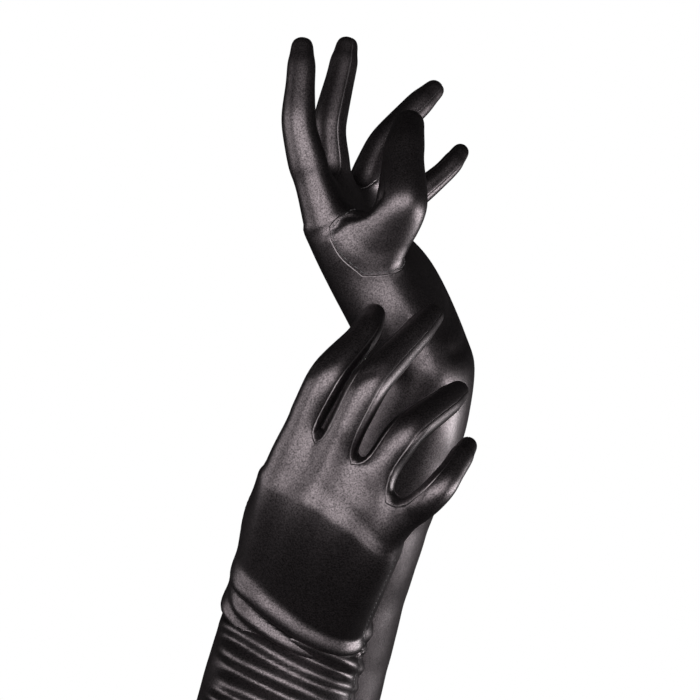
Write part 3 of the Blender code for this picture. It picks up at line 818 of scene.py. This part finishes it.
def gathered(surface, glove):
    """How far the folds lift the cloth at each point."""
    wrist = surface.wrist_height
    angle = np.abs(surface.turn)
    side = np.where(surface.turn < 0, -1.0, 1.0)
    lift = np.zeros(len(angle))
    for height, rise, depth, width, reach, phase in gather_folds(glove, wrist):
        place = height + rise * (1 - np.cos(angle)) / 2
        place += (FOLD_SWAY * np.sin(2 * angle + phase) + FOLD_SKEW * side) * np.sin(angle)
        above = surface.height - place
        away = np.abs(above) / np.where(above > 0, FOLD_UPPER * width, FOLD_LOWER * width)
        fade = np.clip((math.radians(reach) - angle) / math.radians(FOLD_FADE_DEG), 0, 1)
        fade = fade * fade * (3 - 2 * fade)
        near_seam = np.clip(angle / math.radians(FOLD_FULL_DEG), 0, 1)
        near_seam = FOLD_AT_SEAM + (1 - FOLD_AT_SEAM) * near_seam
        fold = depth * fade * near_seam * np.clip(1 - away**2, 0, 1)
        lift = np.maximum(lift, fold)
    return evened(surface, lift)


def evened(surface, lift):
    """The lift shared out between neighbours, so that no step shows between two quads."""
    corners = surface.faces.ravel()
    users = np.maximum(np.bincount(corners, minlength=len(lift)), 1)
    middles = lift[surface.faces].mean(axis=1)
    return np.bincount(corners, np.repeat(middles, 4), len(lift)) / users


def dented(surface, creases):
    """How far creases and puffs move the cloth: each is a line with a breadth and a height."""
    lift = np.zeros(len(surface.points))
    tree = BVHTree.FromPolygons([Vector(p) for p in surface.points], surface.faces.tolist())
    for line, breadth, height in creases:
        nearest = np.full(len(surface.points), 1e9)
        smooth = even_curve([np.array(p, float) for p in line], 10)
        line = [np.array(tree.find_nearest(Vector(p))[0]) for p in smooth]
        for a, b in zip(line, line[1:]):
            run = b - a
            share = np.clip((surface.points - a) @ run / (run @ run), 0, 1)
            away = np.linalg.norm(surface.points - a - share[:, None] * run, axis=1)
            nearest = np.minimum(nearest, away)
        lift += height * np.exp(-((nearest / breadth) ** 2))
    return lift


def slack(surface, seed):
    """Gentle unevenness of cloth that nothing pulls tight."""
    dice = random.Random(seed)
    total = np.zeros(len(surface.points))
    for _ in range(SLACK_WAVES):
        direction = np.array([dice.gauss(0, 1) for _ in range(3)])
        length = dice.uniform(*SLACK_LENGTHS)
        wave = surface.points @ unit(direction) * 2 * math.pi / length
        total += length / SLACK_LENGTHS[1] * np.sin(wave + dice.uniform(0, 2 * math.pi))
    return total / SLACK_WAVES


# ---- pieces of cloth


def fans(surface, picked):
    """For each corner of the picked quads that lies on a seam: which side of it the quad is."""
    on_seam = {i for edge in surface.seams for i in edge}
    around = {}
    for f in picked:
        for i in surface.faces[f]:
            if i in on_seam:
                around.setdefault(i, []).append(f)
    chosen = set(picked)
    fan = {}
    for i, users in around.items():
        waiting = set(users)
        number = 0
        while waiting:
            number += 1
            open_quads = [waiting.pop()]
            while open_quads:
                f = open_quads.pop()
                fan[(i, f)] = number
                face = surface.faces[f]
                for a, b in zip(face, np.roll(face, -1)):
                    edge = (min(a, b), max(a, b))
                    if i not in edge or edge in surface.seams:
                        continue
                    for other in surface.edges[edge]:
                        if other in waiting and other in chosen:
                            waiting.discard(other)
                            open_quads.append(other)
    return fan


def cloth_piece(name, surface, label):
    """One piece of cloth as a thin closed solid, its sewn edges turned in."""
    picked = np.flatnonzero(surface.labels == surface.names.index(label)).tolist()
    fan = fans(surface, picked)
    keys, quads = {}, []
    for f in picked:
        quad = []
        for i in surface.faces[f].tolist():
            quad.append(keys.setdefault((i, fan.get((i, f), 0)), len(keys)))
        quads.append(quad)
    source = np.array([i for i, _ in keys])
    points = surface.points[source].copy()
    normals = surface.normals[source].copy()
    users = {}
    for quad in quads:
        for a, b in zip(quad, quad[1:] + quad[:1]):
            users.setdefault((min(a, b), max(a, b)), []).append((a, b, quad))
    rim = [found[0] for found in users.values() if len(found) == 1]
    pull = {}
    for a, b, quad in rim:
        if (min(source[a], source[b]), max(source[a], source[b])) in surface.seams:
            middle = points[quad].mean(axis=0)
            inwards = across(middle - points[a], unit(points[b] - points[a]))
            for i in (a, b):
                pull[i] = pull.get(i, np.zeros(3)) + inwards
    count = len(points)
    edge_points, edge_normals, twin = [], [], {}
    for i, direction in pull.items():
        flat = across(direction, normals[i])
        twin[i] = count + len(edge_points)
        edge_points.append(points[i] - normals[i] * SEAM_DEPTH)
        edge_normals.append(unit(normals[i] - EDGE_TURN * flat))
        mitre = 2 / max(np.linalg.norm(direction), 1.0)
        points[i] = points[i] + flat * SEAM_INSET * mitre
    outer = np.vstack([points, *edge_points])
    outer_normals = np.vstack([normals, *edge_normals])
    faces = [tuple(quad) for quad in quads]
    border = []
    for a, b, _ in rim:
        turned_in = [twin[i] for i in (a, b) if i in twin]
        if turned_in:
            faces.append((b, a, *turned_in))
        border.append((twin.get(a, a), twin.get(b, b)))
    # marks the turned-in sewn edge points, where the satin gets its painted highlight
    sewn_edge = np.zeros(len(outer))
    sewn_edge[count:] = 1.0
    return thin_solid(name, outer, outer_normals, faces, border, sewn_edge)


def thin_solid(name, outer, normals, faces, border, sewn_edge):
    """The outer faces with an inner layer and a rim, shaded by the whole surface's normals."""
    count = len(outer)
    inner = outer - normals * CLOTH
    solid = list(faces)
    solid += [tuple(i + count for i in reversed(face)) for face in faces]
    solid += [(b, a, a + count, b + count) for a, b in border]
    mesh = bpy.data.meshes.new(name)
    mesh.from_pydata((np.vstack([outer, inner]) * MM).tolist(), [], solid)
    shading = []
    for face in faces:
        shading += [normals[i] for i in face]
    for face in faces:
        shading += [-normals[i] for i in reversed(face)]
    for a, b in border:
        run = outer[b] - outer[a]
        out = np.cross(run, normals[a] + normals[b])
        shading += [out / max(np.linalg.norm(out), 1e-9)] * 4
    mesh.shade_smooth()
    mesh.normals_split_custom_set([tuple(n) for n in shading])
    note(mesh, "sewn", np.concatenate([sewn_edge, sewn_edge]))
    return linked(name, mesh)


def smooth_solid(name, points, faces):
    """An object of these points and faces, shaded smooth."""
    mesh = bpy.data.meshes.new(name)
    mesh.from_pydata((np.array(points) * MM).tolist(), [], faces)
    mesh.shade_smooth()
    return linked(name, mesh)


def linked(name, mesh):
    """An object of the mesh, in the scene."""
    obj = bpy.data.objects.new(name, mesh)
    bpy.context.scene.collection.objects.link(obj)
    return obj


def ordered(edges, points):
    """The points of a chain of edges, in order; it starts at its lowest free end, or anywhere."""
    beside = {}
    for a, b in edges:
        beside.setdefault(a, []).append(b)
        beside.setdefault(b, []).append(a)
    ends = [i for i, others in beside.items() if len(others) == 1] or list(beside)
    here = min(ends, key=lambda i: points[i][2])
    line, before = [here], None
    while True:
        after = [i for i in beside[here] if i != before and i not in line[1:]]
        if not after or after[0] == line[0]:
            return line
        before, here = here, after[0]
        line.append(here)


def along_line(line, pitch):
    """Places at even steps along a line of points, with the line's direction at each."""
    length, at = measured(line)
    places = np.arange(pitch / 2, length, pitch)
    return at(places), at(places + 0.5) - at(places - 0.5)


def sweep_faces(first, count, width, closed):
    """The faces of a solid swept through count rings of points, which are numbered from first.

    The sweep closes on itself or gets two end faces.
    """
    faces = []
    for k in range(count if closed else count - 1):
        low, high = first + k * width, first + (k + 1) % count * width
        for n in range(width):
            m = (n + 1) % width
            faces.append((low + n, low + m, high + m, high + n))
    if not closed:
        last = first + (count - 1) * width
        faces.append(tuple(reversed(range(first, first + width))))
        faces.append(tuple(range(last, last + width)))
    return faces


def stitches(name, tree, centres, directions, aside):
    """A row of stitches that lie on the cloth, each a short rounded thread."""
    points, faces = [], []
    for centre, direction in zip(centres, directions):
        place, normal, _, _ = tree.find_nearest(Vector(centre))
        normal = np.array(normal)
        out = np.cross(normal, across(direction, normal))
        place, normal, _, _ = tree.find_nearest(Vector(centre + out * aside))
        place, normal = np.array(place), np.array(normal)
        along = across(direction, normal)
        side = np.cross(normal, along)
        faces += sweep_faces(len(points), len(STITCH_RINGS), STITCH_SIDES, False)
        for step, share in STITCH_RINGS:
            rise = STITCH_RISE - STITCH_SINK * abs(step) ** 3
            middle = place + along * step * STITCH_LENGTH / 2 + normal * STITCH_RADIUS * rise
            for k in range(STITCH_SIDES):
                turn = -2 * math.pi * k / STITCH_SIDES
                out = side * math.cos(turn) + normal * math.sin(turn)
                points.append(middle + out * STITCH_RADIUS * share)
    return smooth_solid(name, points, faces)


def swept(name, rings, closed):
    """A solid through rings of points."""
    faces = sweep_faces(0, len(rings), len(rings[0]), closed)
    return smooth_solid(name, [p for ring in rings for p in ring], faces)


def hem_band(name, surface):
    """The turned hem, which is the cloth folded up inside the sleeve's end, and its edge."""
    rim = [edge for edge, users in surface.edges.items() if len(users) == 1]
    loop = ordered(rim, surface.points)
    rings = []
    for n, i in enumerate(loop):
        out = across(surface.normals[i], UP)
        foot = surface.points[i] * (1, 1, 0)
        ripple = HEM_RIPPLE * math.sin(n * 2.1)
        rings.append([
            foot - out * (CLOTH + inside + share * ripple) + UP * up
            for inside, up, share in HEM_FOLD
        ])
    return swept(name, rings, True), loop


def seam_tape(name, surface, line):
    """The elastic tape inside the outer seam, ribbed across by its gathers."""
    rows = [i for i in line if HEM_DEPTH + 2 < surface.height[i] < surface.wrist_height - 2]
    rings = []
    for n, i in enumerate(rows):
        after, before = rows[min(n + 1, len(rows) - 1)], rows[max(n - 1, 0)]
        along = unit(surface.smooth_points[after] - surface.smooth_points[before])
        normal = across(surface.smooth_normals[i], along)
        width = np.cross(along, normal) * (TAPE_WIDTH / 2 + TAPE_WAVER * math.sin(n * 1.9))
        sunk = TAPE_INSIDE + CLOTH + TAPE_GATHER * math.sin(n * 3.0)
        top = surface.smooth_points[i] - normal * sunk
        low = top - normal * TAPE_THICKNESS
        rings.append([top - width, top + width, low + width, low - width])
    return swept(name, rings, False)


# ---- materials


class Nodes:
    """Short forms for building a material's nodes."""

    def __init__(self, name):
        self.material = bpy.data.materials.new(name)
        self.material.use_nodes = True
        self.tree = self.material.node_tree
        self.shader = self.tree.nodes["Principled BSDF"]

    def add(self, kind, settings=None, **inputs):
        node = self.tree.nodes.new(kind)
        for key, value in (settings or {}).items():
            setattr(node, key, value)
        for key, value in inputs.items():
            self.join(value, node.inputs[key.replace("_", " ")])
        return node

    def join(self, value, socket):
        if isinstance(value, bpy.types.NodeSocket):
            self.tree.links.new(value, socket)
        else:
            socket.default_value = value

    def place(self):
        """The point on the object itself."""
        return self.add("ShaderNodeTexCoord").outputs["Object"]

    def noise(self, scale, detail=2.0, rough=0.5):
        node = self.add("ShaderNodeTexNoise", Vector=self.place(), Scale=scale, Detail=detail)
        node.inputs["Roughness"].default_value = rough
        return node.outputs["Fac"]

    def ramp(self, value, low, high, first, last):
        """value mapped from the range low..high to first..last."""
        node = self.add("ShaderNodeMapRange", Value=value)
        for key, number in zip(("From Min", "From Max", "To Min", "To Max"), (low, high, first, last)):
            node.inputs[key].default_value = number
        return node.outputs["Result"]

    def bands(self, direction, scale, distortion):
        """Fine parallel bands, such as threads."""
        node = self.add("ShaderNodeTexWave", {"wave_type": "BANDS", "bands_direction": direction})
        for key, value in (("Vector", self.place()), ("Scale", scale), ("Distortion", distortion)):
            self.join(value, node.inputs[key])
        return node.outputs["Fac"]

    def finish(self, colour, rough, normal):
        """Joins the three to the shader, and gives the material."""
        for key, value in (("Base Color", colour), ("Roughness", rough), ("Normal", normal)):
            self.join(value, self.shader.inputs[key])
        return self.material

    def mix_colour(self, share, first, second):
        node = self.add("ShaderNodeMix", {"data_type": "RGBA"})
        self.join(share, node.inputs["Factor"])
        self.join(first, node.inputs["A"])
        self.join(second, node.inputs["B"])
        return [o for o in node.outputs if o.type == "RGBA"][0]

    def combine(self, kind, first, second):
        node = self.add("ShaderNodeMath", {"operation": kind})
        self.join(first, node.inputs[0])
        self.join(second, node.inputs[1])
        return node.outputs[0]

    def bump(self, height, strength, distance, normal=None):
        node = self.add("ShaderNodeBump", Height=height, Strength=strength, Distance=distance)
        if normal is not None:
            self.join(normal, node.inputs["Normal"])
        return node.outputs["Normal"]


def satin_material():
    """Black satin: speckled floats of a fine weave, an uneven gloss, and a painted highlight that
    makes the sewn edges of its seams paler.
    """
    n = Nodes("black_satin")
    grain, speckle, patches = n.noise(2600.0, 3.0, 0.7), n.noise(1500.0, 2.0, 0.6), n.noise(32.0, 3.0)
    sewn = n.add("ShaderNodeAttribute", {"attribute_name": "sewn"}).outputs["Fac"]
    cloth = n.mix_colour(n.ramp(speckle, 0.3, 0.7, 0, 1), SATIN_DARK, SATIN_LIGHT)
    # painted highlight: the colour turns paler at the turned-in sewn edges, in uneven patches
    seam_highlight = n.combine("MULTIPLY", sewn, n.ramp(patches, 0.4, 0.7, 0.3, 1.0))
    fine_gloss = n.ramp(grain, 0.3, 0.7, -0.04, 0.04)
    broad_gloss = n.ramp(patches, 0.3, 0.7, *SATIN_GLOSS)
    coarse = n.bump(speckle, 0.4, 0.00006)
    threads = n.bump(n.bands("DIAGONAL", 900.0, 3.0), 0.2, 0.00003, coarse)
    n.shader.inputs["Metallic"].default_value = SATIN_LUSTRE
    return n.finish(
        n.mix_colour(seam_highlight, cloth, SATIN_SEAM_HIGHLIGHT),
        n.combine("ADD", fine_gloss, broad_gloss),
        n.bump(grain, 0.4, 0.00003, threads),
    )


def banded_material(name, bands, colours, grain, rough, relief):
    """A matt yarn or tape: light and dark bands that also stand in low relief."""
    n = Nodes(name)
    lines = n.bands(*bands)
    return n.finish(
        n.mix_colour(lines, *colours),
        n.ramp(n.noise(grain), 0.3, 0.7, *rough),
        n.bump(lines, *relief),
    )


# ---- the gloves


def stall_ring(glove, name):
    """Where a stall begins, and its direction there."""
    joints = joints_of(glove, name)
    along = unit(joints[1] - joints[0])
    if name == "thumb":
        return joints[1] - along * THUMB_GAP, unit(joints[2] - joints[0])
    return finger_base(glove, name) + along * STUB, along


def attach(obj, glove, label):
    """Joins a piece to the glove's body; a stall's piece is joined to no body, only its transform is
    baked into its points.
    """
    prefix = glove["name"]
    digit = label.split("_")[0]
    if label == "thumb_base" or digit not in glove:
        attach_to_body(obj, f"{prefix}_glove")
        return
    start, along = stall_ring(glove, digit)
    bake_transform(obj)


def finish_piece(obj, material, node):
    """Gives a piece its material and hides the model's part that it stands for."""
    obj.data.materials.append(material)
    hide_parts(node)
    return obj


def shape_cloth(surface, glove):
    """Moves the smooth surface to its slack, its folds, its sunken seam and its creases."""
    surface.smooth_points, surface.smooth_normals = surface.points, surface.normals
    below = surface.wrist_height + SLACK_FROM_WRIST - surface.height
    over_hand = np.clip(below / SLACK_EASE, SLACK_OF_HAND, 1)
    lift = slack(surface, glove["gather"]["seed"]) * glove["slack"] * over_hand
    seam = np.exp(-((surface.turn / SEAM_PULL_BREADTH) ** 2)) * glove["seam_pull"]
    above_hem = np.clip((surface.height - HEM_DEPTH) / HEM_EASE, 0, 1)
    lift += (gathered(surface, glove) - seam) * above_hem
    from_groove = (surface.height - HEM_DEPTH + 1) / HEM_GROOVE_BREADTH
    lift -= HEM_GROOVE * np.exp(-(from_groove**2))
    surface.push(lift)
    surface.push(dented(surface, glove["creases"]))


def sew(name, tree, line, aside, yarn, node, body):
    """A row of stitches along a line on the cloth."""
    row = stitches(name, tree, *along_line(line, STITCH_PITCH), aside)
    finish_piece(row, yarn, node)
    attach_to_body(row, body)


def build_glove(glove, satin, yarn, elastic):
    """Every piece of one glove."""
    prefix = glove["name"]
    body = f"{prefix}_glove"
    cage = Cage()
    hand = add_hand(cage, glove)
    for name in FINGERS:
        add_finger(cage, glove, hand, name)
    add_thumb(cage, glove, hand)
    cage.face_outwards()
    surface = Surface(cage)
    surface.wrist_height = cage.spots[hand["sleeve"][0][0]][0]
    shape_cloth(surface, glove)

    for label in surface.names:
        obj = cloth_piece(f"{prefix}_{label}_cloth", surface, label)
        finish_piece(obj, satin, f"{prefix}_{label}")
        attach(obj, glove, label)
    tree = BVHTree.FromPolygons([Vector(p) for p in surface.points], surface.faces.tolist())

    line = ordered(surface.outer_seam, surface.points)
    seam = [surface.points[i] for i in line if surface.height[i] < BEYOND_HAND / 2]
    node = f"{prefix}_outer_seam_thread"
    sew(f"{prefix}_outer_seam_stitches", tree, seam, STITCH_ASIDE, yarn, node, body)
    round_thumb = ordered(surface.thumb_seam, surface.points)
    hole = [surface.points[i] for i in round_thumb + round_thumb[:1]]
    middle = np.mean(hole, axis=0)
    turned = np.cross(hole[1] - hole[0], hole[0] - middle) @ surface.normals[round_thumb[0]]
    aside = math.copysign(STITCH_ASIDE, -turned)
    node = f"{prefix}_thumb_seam_thread"
    sew(f"{prefix}_thumb_seam_stitches", tree, hole, aside, yarn, node, body)

    hem, loop = hem_band(f"{prefix}_turned_hem", surface)
    finish_piece(hem, satin, f"{prefix}_hem_band")
    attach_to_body(hem, body)
    round_hem = [surface.points[i] * (1, 1, 0) + UP * (HEM_DEPTH - 1) for i in loop + loop[:1]]
    sew(f"{prefix}_hem_stitches", tree, round_hem, 0.0, yarn, f"{prefix}_hem_band", body)
    tape = seam_tape(f"{prefix}_gathering_tape", surface, line)
    finish_piece(tape, elastic, f"{prefix}_seam_elastic")
    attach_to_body(tape, body)


# ---- floor, light and camera


def join_by_sight(tree, unseen, seen, output):
    """One shader for what the camera sees, and another for what lights the gloves."""
    mix = tree.nodes.new("ShaderNodeMixShader")
    path = tree.nodes.new("ShaderNodeLightPath")
    tree.links.new(path.outputs["Is Camera Ray"], mix.inputs["Fac"])
    tree.links.new(unseen, mix.inputs[1])
    tree.links.new(seen, mix.inputs[2])
    tree.links.new(mix.outputs["Shader"], tree.nodes[output].inputs["Surface"])


def add_floor():
    """A plain pale round floor below the hems."""
    centre = (cad_box[0] + cad_box[1]) / 2
    points = []
    for turn in np.linspace(0, 2 * math.pi, FLOOR_SIDES, endpoint=False):
        x, y = math.cos(turn), math.sin(turn)
        points.append((centre.x + FLOOR_RADIUS_M * x, centre.y + FLOOR_RADIUS_M * y, -0.001))
    mesh = bpy.data.meshes.new("floor")
    mesh.from_pydata(points, [], [tuple(range(FLOOR_SIDES))])
    n = Nodes("floor")
    n.join(n.mix_colour(n.noise(6.0), FLOOR_SHADE, FLOOR_LIGHT), n.shader.inputs["Base Color"])
    n.shader.inputs["Roughness"].default_value = 0.8
    n.shader.inputs["Specular IOR Level"].default_value = 0.1
    dark = n.add("ShaderNodeBsdfDiffuse", Color=FLOOR_BOUNCE)
    join_by_sight(n.tree, dark.outputs["BSDF"], n.shader.outputs["BSDF"], "Material Output")
    mesh.materials.append(n.material)
    linked("floor", mesh)


def add_light(name, place, target, size, power):
    """A soft rectangular lamp that faces the target."""
    light = bpy.data.lights.new(name, "AREA")
    light.shape = "RECTANGLE"
    light.size, light.size_y = size
    light.energy = power
    obj = bpy.data.objects.new(name, light)
    obj.location = place
    obj.rotation_euler = (Vector(target) - Vector(place)).to_track_quat("-Z", "Y").to_euler()
    bpy.context.scene.collection.objects.link(obj)


def add_world():
    """White behind the gloves, and a dim room for their light."""
    world = bpy.data.worlds.new("studio")
    bpy.context.scene.world = world
    world.use_nodes = True
    tree = world.node_tree
    room = tree.nodes["Background"]
    seen = tree.nodes.new("ShaderNodeBackground")
    for background, strength in ((room, ROOM_LIGHT), (seen, 1.0)):
        background.inputs["Color"].default_value = WHITE
        background.inputs["Strength"].default_value = strength
    join_by_sight(tree, room.outputs["Background"], seen.outputs["Background"], "World Output")


def add_camera():
    """The photograph's view, from the front."""
    camera = bpy.data.cameras.new("camera")
    camera.sensor_width = SENSOR_MM
    camera.lens = SENSOR_MM * CAMERA_REACH_M / VIEW_BREADTH_M
    obj = bpy.data.objects.new("camera", camera)
    obj.location = CAMERA_PLACE_M
    obj.rotation_euler = (math.pi / 2, 0.0, 0.0)
    bpy.context.scene.collection.objects.link(obj)
    bpy.context.scene.camera = obj


def remove_strays():
    """The startup scene's own cube, lamp and camera."""
    for obj in list(bpy.data.objects):
        if obj.name in ("Cube", "Light", "Camera"):
            bpy.data.objects.remove(obj)


remove_strays()
satin = satin_material()
yarn = banded_material("black_thread", **THREAD)
elastic = banded_material("black_elastic", **ELASTIC)
for pair_member in (LEFT, RIGHT):
    build_glove(pair_member, satin, yarn, elastic)
add_floor()
add_world()
for light_name, settings in LIGHTS.items():
    add_light(light_name, *settings)
add_camera()
bpy.context.scene.view_settings.view_transform = "Standard"
